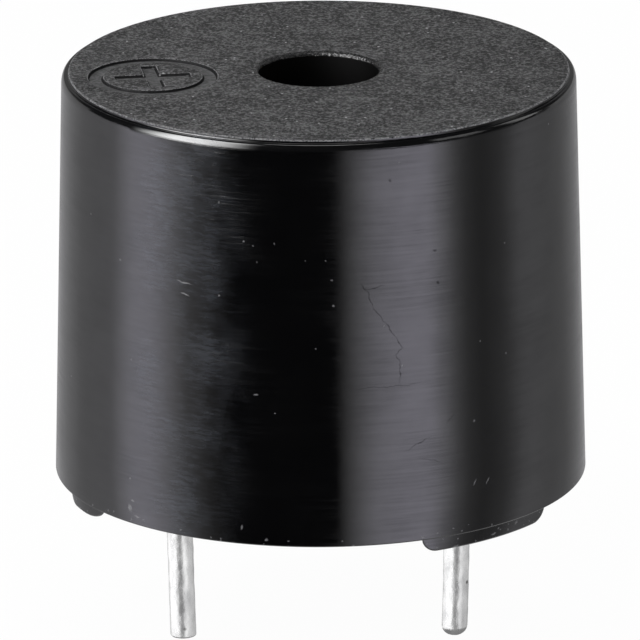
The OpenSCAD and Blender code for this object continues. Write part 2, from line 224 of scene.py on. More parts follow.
def speckle(tree, place, spacing, size, share, dimensions="3D"):
    """Scattered specks: 1 inside a speck and 0 outside, with a share of the cells holding one."""
    cells = add(tree, "ShaderNodeTexVoronoi", {"Vector": place, "Scale": 1 / spacing},
                voronoi_dimensions=dimensions)
    pick = add(tree, "ShaderNodeSeparateColor", {0: cells.outputs["Color"]})
    held = add(tree, "ShaderNodeMath", {0: pick, 1: share}, operation="LESS_THAN")
    near = add(tree, "ShaderNodeMapRange", {0: cells, FROM_LOW: size / spacing,
                                            FROM_HIGH: 0.4 * size / spacing})
    return add(tree, "ShaderNodeMath", {0: near, 1: held}, operation="MULTIPLY")


def wall_place(tree, place):
    """Place on the drafted wall in mm, wavering a little: along its turn from the front, and up."""
    axes = add(tree, "ShaderNodeSeparateXYZ", {0: place})
    back_y = add(tree, "ShaderNodeMath", {0: axes.outputs["Y"], 1: -1.0}, operation="MULTIPLY")
    turn = add(tree, "ShaderNodeMath", {0: axes.outputs["X"], 1: back_y}, operation="ARCTAN2")
    along = add(tree, "ShaderNodeMath", {0: turn, 1: RIM_R}, operation="MULTIPLY")
    flat = add(tree, "ShaderNodeCombineXYZ", {0: along, 1: axes.outputs["Z"]})
    waver_w, waver_reach = 0.2, 0.14
    waver = add(tree, "ShaderNodeTexNoise", {"Vector": flat, "Scale": 1 / waver_w, "Detail": 3.0})
    shift = add(tree, "ShaderNodeVectorMath", {0: waver.outputs["Color"], 1: (0.5, 0.5, 0.5)},
                operation="SUBTRACT")
    shift = add(tree, "ShaderNodeVectorMath", {0: shift, "Scale": waver_reach}, operation="SCALE")
    return add(tree, "ShaderNodeVectorMath", {0: flat, 1: shift}, operation="ADD")


def rubbed(tree, wall, marks):
    """Marks on the wall: 1 inside a mark and 0 outside, each an ellipse given by its turn from the
    front in degrees, its height, its half length, its half width and its slope in degrees."""
    total = None
    for turn, height, half_l, half_w, slope in marks:
        place = (math.radians(turn) * RIM_R, height, 0)
        own = add(tree, "ShaderNodeMapping", {"Vector": wall, "Location": place,
                                              "Rotation": (0, 0, math.radians(slope)),
                                              "Scale": (half_l, half_w, 1)}, vector_type="TEXTURE")
        reach = add(tree, "ShaderNodeVectorMath", {0: own}, operation="LENGTH").outputs["Value"]
        mark = add(tree, "ShaderNodeMapRange", {0: reach, FROM_LOW: 1.0, FROM_HIGH: 0.4})
        total = mark if total is None else add(tree, "ShaderNodeMath", {0: total, 1: mark},
                                               operation="MAXIMUM")
    return total


def scratch(points, half_w):
    """Marks that follow a scratch through points given by their turn and height."""
    marks = []
    for (turn_a, height_a), (turn_b, height_b) in zip(points, points[1:]):
        along = math.radians(turn_b - turn_a) * RIM_R
        half_l = 0.7 * math.hypot(along, height_b - height_a) + half_w
        slope = math.degrees(math.atan2(height_b - height_a, along))
        marks.append(((turn_a + turn_b) / 2, (height_a + height_b) / 2, half_l, half_w, slope))
    return marks


# Marks on the wall for rubbed: fine scratches and pale chips of wear, and the place of the painted sheen
SCRATCHED = (*scratch(((0.7, 6.4), (2, 6.23), (3.3, 5.83), (6, 5.47), (8.2, 5.12), (9.7, 4.88),
                       (8.3, 4.73), (9.2, 4.54), (9.2, 4.08)), 0.016),
             *scratch(((2, 6.23), (5.6, 6.32)), 0.012), *scratch(((-2.3, 4.02), (14.7, 4.0)), 0.01),
             (18.1, 6.25, 0.05, 0.04, 0), (17.5, 7.02, 0.05, 0.03, 30), (7.4, 8.71, 0.05, 0.04, 0),
             (13, 2.6, 0.4, 0.012, 24), (16, 2.2, 0.3, 0.012, -18), (21, 3.1, 0.2, 0.012, 40))
CHIPPED = ((-17.9, 7.32, 0.022, 0.022, 0), (-22.8, 7.25, 0.022, 0.02, 0), (-21.7, 6.89, 0.02, 0.018, 0),
           (-6.8, 6.93, 0.022, 0.02, 0), (-5.2, 5.91, 0.04, 0.03, 60), (-9.1, 4.93, 0.022, 0.022, 0),
           (-22.2, 3.83, 0.07, 0.03, 15), (-18.0, 3.43, 0.02, 0.018, 0), (-11.2, 6.95, 0.02, 0.018, 0),
           (-38.9, 6.21, 0.24, 0.018, -10), (-38.8, 5.96, 0.15, 0.018, -12),
           (-25.3, 0.74, 0.06, 0.03, 70), (26.9, 1.49, 0.1, 0.02, 60), (30.2, 1.46, 0.1, 0.025, 50),
           (-53.5, 0.7, 0.05, 0.12, 20), (-51.5, 0.55, 0.12, 0.03, 0), (-52.6, 0.9, 0.05, 0.04, 0),
           (33, 0.12, 0.09, 0.03, 0), (40, 0.2, 0.06, 0.04, 20), (-20, 0.5, 0.05, 0.05, 0),
           (22.5, 0.03, 0.12, 0.03, 20))
SHEEN_HAZE_PLACE = ((-41, 5.5, 2.15, 12, 0),)


def spark_grained_pbt():
    """Moulded PBT from a spark-eroded cavity: craters about 0.06 mm wide, with painted shade darker
    down in the craters and painted highlight lighter on their crests, bright points painted in as
    glints, and patches of wear."""
    material, tree, shader, place = new_material("spark_grained_pbt", IOR=1.5)
    crater_w, ripple_w, patch_w = 0.062, 0.03, 0.7
    ripple = add(tree, "ShaderNodeTexNoise", {"Vector": place, "Scale": 1 / ripple_w, "Detail": 2.0})
    coarse = add(tree, "ShaderNodeTexNoise", {"Vector": place, "Scale": 1 / (2.2 * crater_w),
                                              "Detail": 2.0})
    crater = add(tree, "ShaderNodeTexVoronoi", {"Vector": place, "Scale": 1 / crater_w},
                 feature="SMOOTH_F1")
    height = add(tree, "ShaderNodeMath", {0: crater, 1: ripple}, operation="ADD")
    height = add(tree, "ShaderNodeMath", {0: height, 1: coarse}, operation="ADD")
    # Painted shade and highlight: the colour follows the grain's height, darker in the craters and
    # lighter on their crests
    tone = add(tree, "ShaderNodeMapRange", {0: height, FROM_LOW: 1.31, FROM_HIGH: 1.69})
    patch = add(tree, "ShaderNodeTexNoise", {"Vector": place, "Scale": 1 / patch_w, "Detail": 3.0})
    patch = add(tree, "ShaderNodeMapRange", {0: patch, FROM_LOW: 0.3, FROM_HIGH: 0.7,
                                             TO_LOW: -0.2, TO_HIGH: 0.2})
    tone = add(tree, "ShaderNodeMath", {0: tone, 1: patch}, operation="ADD", use_clamp=True)
    grey = add(tree, "ShaderNodeMix", {FACTOR: tone, COLOUR_A: linear("#0c0c0d"),
                                       COLOUR_B: linear("#5b5b5c")}, data_type="RGBA")
    # Painted glints: bright points scattered over the face
    painted_glints = speckle(tree, place, spacing=0.22, size=0.036, share=0.22)
    colour = add(tree, "ShaderNodeMix", {FACTOR: painted_glints, COLOUR_A: grey.outputs[COLOUR_OUT],
                                         COLOUR_B: linear("#c4c4c6")}, data_type="RGBA")
    rough = add(tree, "ShaderNodeMapRange", {0: tone, TO_LOW: 0.75, TO_HIGH: 0.5})
    bump = add(tree, "ShaderNodeBump", {"Height": height, "Strength": 0.8, "Distance": 0.035 * MM})
    tree.links.new(colour.outputs[COLOUR_OUT], shader.inputs["Base Color"])
    tree.links.new(rough.outputs[0], shader.inputs["Roughness"])
    tree.links.new(bump.outputs[0], shader.inputs["Normal"])
    return material


def hairlines(tree, place, cloud):
    """Height of the hairlines: about 0.05 mm apart, a few millimetres long and in cloudy patches."""
    spacing, length = 0.048, 1.6
    drawn = add(tree, "ShaderNodeVectorMath", {0: place, 1: (1 / length, 1 / length, 1 / spacing)},
                operation="MULTIPLY")
    lines = add(tree, "ShaderNodeTexNoise", {"Vector": drawn, "Scale": 1.0, "Detail": 3.0,
                                             "Roughness": 0.7})
    return add(tree, "ShaderNodeMath", {0: lines, 1: cloud}, operation="MULTIPLY")


def chipped(tree, wall, up):
    """Where the wall is chipped pale: 1 in the larger chips, 0.8 in the dust of the lower edge."""
    low = add(tree, "ShaderNodeMapRange", {0: up, FROM_LOW: RIM_Z + 0.25, FROM_HIGH: RIM_Z,
                                           TO_LOW: 0.004, TO_HIGH: 0.6})
    dust = speckle(tree, wall, spacing=0.2, size=0.03, share=low, dimensions="2D")
    dust = add(tree, "ShaderNodeMath", {0: dust, 1: 0.8}, operation="MULTIPLY")
    return add(tree, "ShaderNodeMath", {0: rubbed(tree, wall, CHIPPED), 1: dust}, operation="MAXIMUM")


def painted_sheen_haze(tree, wall, cloud):
    """Strength of a painted sheen of rub marks, 0.07 mm apart and 0.45 mm long, on the wall's lit side.
    """
    spacing, length = 0.07, 0.45
    marks = add(tree, "ShaderNodeVectorMath", {0: wall, 1: (1 / length, 1 / spacing, 1)},
                operation="MULTIPLY")
    marks = add(tree, "ShaderNodeTexNoise", {"Vector": marks, "Scale": 1.0, "Detail": 4.0,
                                             "Roughness": 0.65})
    marks = add(tree, "ShaderNodeMath", {0: marks, 1: cloud}, operation="MULTIPLY")
    painted_haze = add(tree, "ShaderNodeMapRange", {0: marks, FROM_LOW: 0.17, FROM_HIGH: 0.4,
                                            TO_HIGH: 0.42})
    sheen_area = add(tree, "ShaderNodeMath", {0: rubbed(tree, wall, SHEEN_HAZE_PLACE), 1: 2.0}, operation="POWER")
    return add(tree, "ShaderNodeMath", {0: painted_haze, 1: sheen_area}, operation="MULTIPLY")


def polished_pbt():
    """Moulded PBT from a polished cavity: nearly black and glossy, with hairlines drawn round the
    wall where the part left the cavity, scratches that dull the shine, pale chips along the lower
    edge and a painted bluish sheen, where rub marks are coloured as if they catch the light."""
    material, tree, shader, place = new_material("polished_pbt", IOR=1.52)
    wall = wall_place(tree, place)
    up = add(tree, "ShaderNodeSeparateXYZ", {0: place}).outputs["Z"]
    cloud = add(tree, "ShaderNodeTexNoise", {"Vector": place, "Scale": 0.9, "Detail": 4.0})
    drawn = hairlines(tree, place, cloud)
    chips = chipped(tree, wall, up)
    rough = add(tree, "ShaderNodeMapRange", {0: drawn, FROM_LOW: 0.17, FROM_HIGH: 0.36,
                                             TO_LOW: 0.08, TO_HIGH: 0.18})
    rough = add(tree, "ShaderNodeMath", {0: chips, 1: 0.3, 2: rough}, operation="MULTIPLY_ADD",
                use_clamp=True)
    shine = add(tree, "ShaderNodeMapRange", {0: drawn, FROM_LOW: 0.15, FROM_HIGH: 0.4,
                                             TO_LOW: 0.56, TO_HIGH: 0.44})
    shine = add(tree, "ShaderNodeMath", {0: rubbed(tree, wall, SCRATCHED), 1: -0.27, 2: shine},
                operation="MULTIPLY_ADD", use_clamp=True)
    # Painted sheen: a bluish grey mixed into the colour where the rub marks would catch the light
    whole = add(tree, "ShaderNodeMix", {FACTOR: painted_sheen_haze(tree, wall, cloud),
                                        COLOUR_A: linear("#070708"), COLOUR_B: linear("#4c5059")},
                data_type="RGBA")
    colour = add(tree, "ShaderNodeMix", {FACTOR: chips, COLOUR_A: whole.outputs[COLOUR_OUT],
                                         COLOUR_B: linear("#5e5e60")}, data_type="RGBA")
    # The hairlines run out towards the lower edge
    strength = add(tree, "ShaderNodeMapRange", {0: up, FROM_LOW: RIM_Z + 0.3, FROM_HIGH: RIM_Z + 2,
                                                TO_LOW: 0.1, TO_HIGH: 0.7})
    bump = add(tree, "ShaderNodeBump", {"Height": drawn, "Strength": strength,
                                        "Distance": 0.0088 * MM})
    tree.links.new(colour.outputs[COLOUR_OUT], shader.inputs["Base Color"])
    tree.links.new(rough.outputs[0], shader.inputs["Roughness"])
    tree.links.new(shine.outputs[0], shader.inputs["Specular IOR Level"])
    tree.links.new(bump.outputs[0], shader.inputs["Normal"])
    return material


def mottled(name, dark, light, patch_w, rough, grain_w, grain_depth, **sockets):
    """A material whose colour wanders between two tones over patches, with a fine grained surface."""
    material, tree, shader, place = new_material(name, **sockets)
    patches = add(tree, "ShaderNodeTexNoise", {"Vector": place, "Scale": 1 / patch_w, "Detail": 4.0})
    tone = add(tree, "ShaderNodeMapRange", {0: patches, FROM_LOW: 0.35, FROM_HIGH: 0.65})
    colour = add(tree, "ShaderNodeMix", {FACTOR: tone, COLOUR_A: linear(dark),
                                         COLOUR_B: linear(light)}, data_type="RGBA")
    gloss = add(tree, "ShaderNodeMapRange", {0: tone, TO_LOW: rough[1], TO_HIGH: rough[0]})
    grain = add(tree, "ShaderNodeTexNoise", {"Vector": place, "Scale": 1 / grain_w, "Detail": 3.0})
    bump = add(tree, "ShaderNodeBump", {"Height": grain, "Strength": 0.6,
                                        "Distance": grain_depth * MM})
    tree.links.new(colour.outputs[COLOUR_OUT], shader.inputs["Base Color"])
    tree.links.new(gloss.outputs[0], shader.inputs["Roughness"])
    tree.links.new(bump.outputs[0], shader.inputs["Normal"])
    return material


def dipped_tin():
    """Copper-clad wire dipped in tin: bright and a little cloudy, with shallow runs and dark
    specks of burnt flux."""
    material, tree, shader, place = new_material("dipped_tin", Metallic=1.0)
    run_w, cloud_w = 0.1, 0.22
    long = add(tree, "ShaderNodeVectorMath", {0: place, 1: (1, 1, 0.45)}, operation="MULTIPLY")
    runs = add(tree, "ShaderNodeTexNoise", {"Vector": long, "Scale": 1 / run_w, "Detail": 5.0})
    clouds = add(tree, "ShaderNodeTexNoise", {"Vector": long, "Scale": 1 / cloud_w, "Detail": 3.0})
    tone = add(tree, "ShaderNodeMapRange", {0: clouds, FROM_LOW: 0.3, FROM_HIGH: 0.7})
    bright = add(tree, "ShaderNodeMix", {FACTOR: tone, COLOUR_A: linear("#c6c6c7"),
                                         COLOUR_B: linear("#f4f4f4")}, data_type="RGBA")
    flux = speckle(tree, place, spacing=0.4, size=0.06, share=0.35)
    colour = add(tree, "ShaderNodeMix", {FACTOR: flux, COLOUR_A: bright.outputs[COLOUR_OUT],
                                         COLOUR_B: linear("#5a5957")}, data_type="RGBA")
    rough = add(tree, "ShaderNodeMapRange", {0: runs, FROM_LOW: 0.3, FROM_HIGH: 0.7,
                                             TO_LOW: 0.16, TO_HIGH: 0.34})
    bump = add(tree, "ShaderNodeBump", {"Height": runs, "Strength": 0.6, "Distance": 0.02 * MM})
    tree.links.new(colour.outputs[COLOUR_OUT], shader.inputs["Base Color"])
    tree.links.new(rough.outputs[0], shader.inputs["Roughness"])
    tree.links.new(bump.outputs[0], shader.inputs["Normal"])
    return material


grained = spark_grained_pbt()
polished = polished_pbt()
# The sunk mark was cut into the cavity without grain: an even satin grey
sunk = mottled("satin_pbt", "#363637", "#555556", patch_w=0.09, rough=(0.5, 0.65), grain_w=0.06,
               grain_depth=0.006, IOR=1.5)
# Painted highlight: pale broken flecks on dull black along the outer edges, for the light that they catch
edge_painted_highlight = mottled("edge_flecks_painted_highlight", "#1e1e1f", "#98989a", patch_w=0.035, rough=(0.5, 0.7), grain_w=0.04,
                grain_depth=0.01, IOR=1.12)
# Painted shade: the groove's sides, milled steep, are coloured almost black and dull for the shade they
# lie in
groove_side_painted_shade = mottled("milled_pbt_painted_shade", "#050506", "#111112", patch_w=0.06, rough=(0.6, 0.75), grain_w=0.05,
                    grain_depth=0.002, IOR=1.25)
# A trace of flash at the sound hole's edge catches the light in single points
glinting = mottled("flashed_pbt", "#0a0a0b", "#2a2a2b", patch_w=0.06, rough=(0.12, 0.4), grain_w=0.07,
                   grain_depth=0.08, IOR=1.5)
# Painted shade: the chamber's plastic is darker and almost without gloss, so the sound hole stays a black
# well
inside = mottled("moulded_pbt_inside_painted_shade", "#020202", "#050505", patch_w=1.5, rough=(0.5, 0.65),
                 grain_w=0.08, grain_depth=0.002, Specular_IOR_Level=0.05)
# Cast and left to level: black, with a wet gloss that clouds a little
resin = mottled("cast_epoxy_resin", "#09090a", "#131314", patch_w=1.2, rough=(0.2, 0.4), grain_w=0.3,
                grain_depth=0.012, IOR=1.54)
tin = dipped_tin()
CASING_FINISHES = {"wall": polished, "grain": grained, "sunk": sunk, "inside": inside,
                   "groove_side_painted_shade": groove_side_painted_shade, "edge_painted_highlight": edge_painted_highlight, "glint": glinting}

# ---------------------------------------------------------------- casing


def foot_start(angle):
    """Radius at which a foot begins at this angle, up to its outer face where there is none."""
    across, along = math.cos(angle), abs(math.sin(angle))
    side, from_x, from_y = FEET[0] if across > 0 else FEET[1]
    if along < TINY:
        return FOOT_R
    return min(max(BORE_R, from_x / max(side * across, TINY), from_y / along), FOOT_R)


def foot_height(radius, angle):
    """How far a foot reaches below the rim at a point, its lower corners rounded over."""
    side, from_x, from_y = FEET[0] if math.cos(angle) > 0 else FEET[1]
    inside = min(side * radius * math.cos(angle) - from_x, radius * abs(math.sin(angle)) - from_y)
    short = RIM_Z - min(max(inside, 0), RIM_Z)
    return math.sqrt(RIM_Z ** 2 - short ** 2)


def sole(angle):
    """Points under a foot from its outer face to the radius where it begins."""
    start = foot_start(angle)
    height = foot_height(FOOT_R, angle)
    edge = min(FOOT_EDGE, height / 2)
    points = arc((FOOT_R - edge, RIM_Z - height + edge), (edge, edge), 0, -90, 4)
    for step in range(1, SOLE_STEPS + 1):
        share = math.sin(math.radians(90 * step / SOLE_STEPS))
        radius = FOOT_R - edge - (FOOT_R - edge - start) * share
        points.append((radius, RIM_Z - foot_height(radius, angle)))
    return points


def column_angles():
    """Angles of the casing's columns: even steps, with closer ones at the ends of the feet."""
    close = []
    for side, from_x, from_y in FEET:
        tips = [RIM_Z * (1 - math.cos(math.radians(90 * i / TIP_STEPS))) for i in range(TIP_STEPS + 1)]
        turns = [math.acos((from_x + tip) / FOOT_R) for tip in tips]
        turns += [math.asin((from_y + tip) / FOOT_R) for tip in tips]
        close += [turn if side > 0 else math.pi - turn for turn in turns]
    close += [math.tau - angle for angle in close]
    even = [math.tau * i / COLUMNS for i in range(COLUMNS)]
    clear = 0.3 * math.tau / COLUMNS    # an even column this near to a foot's own is left out
    kept = [a for a in even if all(abs(math.remainder(a - b, math.tau)) > clear for b in close)]
    return sorted(kept + close)


def casing_section(angle):
    """Section of the cup at an angle: (finish, points) from the grained face's edge round the
    outside and under the rim, then up the inside to the hole's edge."""
    lip = arc((FACE_R - LIP_R, TOP_Z - LIP_R), (LIP_R, LIP_R), 90, 0, 4)
    step = arc((FACE_R + STEP_FILLET, CORNER_Z + STEP_FILLET), (STEP_FILLET, STEP_FILLET), 180, 270, 3)
    edge_arc = arc((LAND_R, WALL_TOP_Z), (EDGE_W, EDGE_DROP), 90, 0, 14)
    fall = RIM_Z + RIM_ROUND - WALL_TOP_Z
    wall = [(CORNER_R + (RIM_R - CORNER_R) * i / WALL_ROWS, WALL_TOP_Z + fall * i / WALL_ROWS)
            for i in range(1, WALL_ROWS)]
    rim = arc((RIM_R - RIM_ROUND, RIM_Z + RIM_ROUND), (RIM_ROUND, RIM_ROUND), 0, -90, 4)
    hole_edge = arc((HOLE_R + HOLE_ROUND, TOP_Z - HOLE_ROUND), (HOLE_ROUND, HOLE_ROUND), 180, 90, 5)
    return (("edge_painted_highlight", lip),
            ("wall", [*step, *edge_arc, *wall, *rim, (FOOT_R, RIM_Z), *sole(angle)]),
            ("inside", [(BORE_R, RIM_Z), (BORE_R, SHELF_Z), (SHELF_R, SHELF_Z), (SHELF_R, LEDGE_Z),
                        (SHELF_R - LEDGE_W, LEDGE_Z), (SHELF_R - LEDGE_W, CEILING_Z),
                        (HOLE_R, CEILING_Z), hole_edge[0]]),
            ("glint", hole_edge[1:]))


def rounded(corners, radius_of):
    """A closed outline whose corners are rounded; radius_of gives the radius by whether it is convex."""
    outline = []
    for i, corner in enumerate(corners):
        before = (corners[i - 1] - corner).normalized()
        after = (corners[(i + 1) % len(corners)] - corner).normalized()
        convex = before.cross(after) < 0
        radius = radius_of(convex)
        centre = corner + (before + after) * radius
        for step in range(CORNER_STEPS + 1):
            a = math.radians(90 * step / CORNER_STEPS)
            outline.append(centre - after * radius * math.cos(a) - before * radius * math.sin(a))
    return outline


def mark_outlines(offset):
    """The mark's outlines at a distance outside the groove: the ring's two circles and the plus."""
    middle = Vector((MARK_X, 0))
    circles = []
    for radius in (MARK_R + offset, MARK_R - MARK_LINE - offset):
        turns = [math.tau * i / MARK_SIDES for i in range(MARK_SIDES)]
        circles.append([middle + polar(radius, a).to_2d() for a in turns])
    reach, half = MARK_BAR / 2 + offset, MARK_LINE / 2 + offset
    arm = [Vector((half, half)), Vector((reach, half)), Vector((reach, -half))]
    corners = []
    for quarter in range(4):
        turn = Matrix.Rotation(math.radians(-90 * quarter), 2)
        corners += [middle + turn @ p for p in arm]
    plus = rounded(corners, lambda convex: MARK_CORNER + (offset if convex else -offset))
    return [*circles, plus]


def from_mark(point):
    """Distance of a point outside the mark's grooves, negative inside them."""
    x, y = abs(point[0] - MARK_X), abs(point[1])
    ring = abs(math.hypot(x, y) - (MARK_R - MARK_LINE / 2)) - MARK_LINE / 2
    bar_x = max(x - MARK_BAR / 2, y - MARK_LINE / 2)
    bar_y = max(y - MARK_BAR / 2, x - MARK_LINE / 2)
    return min(ring, bar_x, bar_y)


def grained_face(outer, inner):
    """Points, triangles and their finishes: the top face between two loops, with the sunk mark."""
    points, edges = [], []
    loops = [(outer, 0.0), (inner, 0.0)]
    for offset, share in MARK_SECTION:
        loops += [(outline, share * MARK_DEPTH) for outline in mark_outlines(offset)]
    for loop, depth in loops:
        first = len(points)
        points += [(p[0], p[1], TOP_Z - depth) for p in loop]
        edges += [(first + i, first + (i + 1) % len(loop)) for i in range(len(loop))]
    flat = [Vector(p[:2]) for p in points]
    found = delaunay_2d_cdt(flat, edges, [], 0, SAME_POINT, True)
    source = [ids[0] for ids in found[3]]
    faces, finishes = [], []
    for face in found[2]:
        centre = sum((found[0][v] for v in face), Vector((0, 0))) / len(face)
        if HOLE_R + HOLE_ROUND < centre.length < FACE_R - LIP_R:
            faces.append([source[v] for v in face])
            outside = from_mark(centre)
            on_side = MARK_SECTION[-1][0] < outside < MARK_SECTION[1][0]
            on_crest = MARK_SECTION[1][0] < outside < MARK_SECTION[0][0]
            finishes.append("groove_side_painted_shade" if on_side else "edge_painted_highlight" if on_crest
                            else "sunk" if outside < 0 else "grain")
    return points, faces, finishes


def moulded_casing():
    """The cup as one closed mesh: a section swept round with its feet, and the grained top face."""
    finish_of = {name: index for index, name in enumerate(CASING_FINISHES)}
    angles = column_angles()
    points = []
    for angle in angles:
        points += [polar(r, angle, z) for name, span in casing_section(angle) for r, z in span]
    row_finish = [finish_of[name] for name, span in casing_section(angles[0]) for point in span]
    rows, columns = len(row_finish), len(angles)
    faces, finishes = [], []
    for c in range(columns):
        here, following = c * rows, (c + 1) % columns * rows
        for r in range(rows - 1):
            faces.append((here + r, here + r + 1, following + r + 1, following + r))
            finishes.append(row_finish[r + 1])
    outer = [points[c * rows] for c in range(columns)]
    inner = [points[c * rows + rows - 1] for c in range(columns)]
    face_points, face_faces, face_finishes = grained_face(outer, inner)
    first = len(points)
    points += face_points
    faces += [[first + v for v in face] for face in face_faces]
    finishes += [finish_of[name] for name in face_finishes]
    piece = new_piece("moulded_casing", points, faces, CASING_FINISHES.values(), finishes)
    shade(piece, 40)
    finished(piece, "black_plastic", "casing")


moulded_casing()

# ---------------------------------------------------------------- pins

COLLAR_R = 0.5
COLLAR_LOW, COLLAR_HIGH = RESIN_Z + 0.1, RESIN_Z + 0.5
PIN_SIDES = 48
ROW_H = 0.05            # height between the rings of points of a pin
TAIL_ROUND = 0.03
PIN_LEAN = math.tan(math.radians(1.45))
BEND_DROP = 0.12        # from the resin down to where a pin bends
LUMP_H, LUMP_W = 0.009, 0.35    # runs of tin


def turned(name, section, x, material):
    """A round piece from its section of (radius, height), on an axis at x."""
    points, faces = [], []
    for radius, height in section:
        points += [Vector((x, 0, 0)) + polar(radius, math.tau * i / PIN_SIDES, height)
                   for i in range(PIN_SIDES)]
    for ring in range(len(section) - 1):
        for i in range(PIN_SIDES):
            near, far = ring * PIN_SIDES, (ring + 1) * PIN_SIDES
            after = (i + 1) % PIN_SIDES
            faces.append((near + i, near + after, far + after, far + i))
    return new_piece(name, points, faces, [material])


def pin_section(end_z, round_w, round_h):
    """Section of a pin from its tail down to its end, with its collar and a rounded end."""
    rows = int((COLLAR_LOW - end_z - round_h) / ROW_H)
    body = [(PIN_R, COLLAR_LOW - i * ROW_H) for i in range(1, rows)]
    end = arc((PIN_R - round_w, end_z + round_h), (round_w, round_h), 0, -90, 8)
    return [(0, tail_high), (PIN_R - TAIL_ROUND, tail_high), (PIN_R, tail_high - TAIL_ROUND),
            (PIN_R, COLLAR_HIGH), (COLLAR_R, COLLAR_HIGH), (COLLAR_R, COLLAR_LOW),
            (PIN_R, COLLAR_LOW), *body, *end, (0, end_z)]


def dipped_wire_tree():
    """Geometry nodes that bend a straight pin below its collar and cover it with runs of tin."""
    tree = bpy.data.node_groups.new("dipped_wire", "GeometryNodeTree")
    tree.interface.new_socket("Geometry", in_out="INPUT", socket_type="NodeSocketGeometry")
    for name in ("Bend Height", "Kink", "Lean", "Lump Height", "Lump Size", "Seed"):
        tree.interface.new_socket(name, in_out="INPUT", socket_type="NodeSocketFloat")
    tree.interface.new_socket("Geometry", in_out="OUTPUT", socket_type="NodeSocketGeometry")
    given = add(tree, "NodeGroupInput").outputs
    place = add(tree, "ShaderNodeVectorMath", {0: add(tree, "GeometryNodeInputPosition"),
                                               "Scale": 1 / MM}, operation="SCALE")
    height = add(tree, "ShaderNodeSeparateXYZ", {0: place}).outputs["Z"]
    below = add(tree, "ShaderNodeMath", {0: given["Bend Height"], 1: height}, operation="SUBTRACT")
    below = add(tree, "ShaderNodeMath", {0: below, 1: 0.0}, operation="MAXIMUM")
    # The kink is spread over 0.5 mm and the runs of tin begin within 0.3 mm of the bend
    bent = add(tree, "ShaderNodeMapRange", {0: below, FROM_LOW: 0.0, FROM_HIGH: 0.5},
               interpolation_type="SMOOTHSTEP")
    fade = add(tree, "ShaderNodeMapRange", {0: below, FROM_LOW: 0.0, FROM_HIGH: 0.3})
    moved = add(tree, "ShaderNodeVectorMath", {0: place, 1: given["Seed"]}, operation="ADD")
    scale = add(tree, "ShaderNodeMath", {0: 1.0, 1: given["Lump Size"]}, operation="DIVIDE")
    lumps = add(tree, "ShaderNodeTexNoise", {"Vector": moved, "Scale": scale, "Detail": 2.0})
    # Mostly below the drawn surface, so that the pin keeps its size
    lumps = add(tree, "ShaderNodeMapRange", {0: lumps, FROM_LOW: 0.25, FROM_HIGH: 0.75,
                                             TO_LOW: -1.7, TO_HIGH: 0.0})
    lumps = add(tree, "ShaderNodeMath", {0: lumps, 1: given["Lump Height"]}, operation="MULTIPLY")
    lumps = add(tree, "ShaderNodeMath", {0: lumps, 1: fade}, operation="MULTIPLY")
    swell = add(tree, "ShaderNodeVectorMath", {0: add(tree, "GeometryNodeInputNormal"),
                                               "Scale": lumps}, operation="SCALE")
    aside = add(tree, "ShaderNodeMath", {0: bent, 1: given["Kink"]}, operation="MULTIPLY")
    aside = add(tree, "ShaderNodeMath", {0: below, 1: given["Lean"], 2: aside},
                operation="MULTIPLY_ADD")
    offset = add(tree, "ShaderNodeVectorMath", {0: swell, 1: add(tree, "ShaderNodeCombineXYZ",
                                                                 {0: aside})}, operation="ADD")
    offset = add(tree, "ShaderNodeVectorMath", {0: offset, "Scale": MM}, operation="SCALE")
    shaped = add(tree, "GeometryNodeSetPosition", {"Geometry": given["Geometry"],
                                                   "Offset": offset})
    solid = add(tree, "GeometryNodeRealizeInstances", {0: shaped})
    coated = add(tree, "GeometryNodeSetMaterial", {"Geometry": solid, "Material": tin})
    add(tree, "NodeGroupOutput", {0: coated})
    return tree


def shaped_by(piece, tree, values):
    """Gives a piece the mesh that its geometry nodes make with these values, as a plain mesh."""
    modifier = piece.modifiers.new(tree.name, "NODES")
    modifier.node_group = tree
    for socket in tree.interface.items_tree:
        if socket.in_out == "INPUT" and socket.name in values:
            modifier[socket.identifier] = values[socket.name]
    ready = piece.evaluated_get(bpy.context.evaluated_depsgraph_get())
    mesh = bpy.data.meshes.new_from_object(ready)
    piece.modifiers.remove(modifier)
    piece.data = mesh


def tinned_pin(name, side, end_z, round_w, round_h, kink, seed):
    """A pin on one side of X; its kink and its lean bring it towards the middle."""
    piece = turned(name, pin_section(end_z, round_w, round_h), side * PIN_X, tin)
    shaped_by(piece, dipped_wire, {"Bend Height": RESIN_Z - BEND_DROP, "Kink": -side * kink,
                                   "Lean": -side * PIN_LEAN, "Lump Height": LUMP_H,
                                   "Lump Size": LUMP_W, "Seed": seed})
    shade(piece, 50)
    finished(piece, "tinned_pin", name)


dipped_wire = dipped_wire_tree()
# One wire was cut after it was dipped; the other was cut before, so tin rounds its end
tinned_pin("pin_positive", -1, positive_end, round_w=0.06, round_h=0.05, kink=-0.025, seed=3.0)
tinned_pin("pin_negative", 1, negative_end, round_w=0.24, round_h=0.22, kink=0.075, seed=8.0)

# ---------------------------------------------------------------- resin

RESIN_R = resin_high.x
PIN_HOLE_R = PIN_R + FIT_GAP
RESIN_SIDES = 160
WALL_RINGS = (0, 0.05, 0.12, 0.25, 0.5, 1, 1.8, 2.8, 3.9)   # rings of points, from the wall
PIN_RINGS = (0, 0.03, 0.08, 0.15, 0.25, 0.4)                # and from each pin's hole
RING_GAP = 0.05
WALL_RISE, WALL_REACH = 0.1, 0.16       # how high the skin climbs the wall, and over what width
PIN_RISE, PIN_REACH = 0.07, 0.1
WAVE_H, WAVE_W = 0.02, 2.0


def from_pins(point):
    """Distance of a point across the resin from the nearest pin's hole."""
    return min((point - Vector((x, 0))).length for x in (-PIN_X, PIN_X)) - PIN_HOLE_R


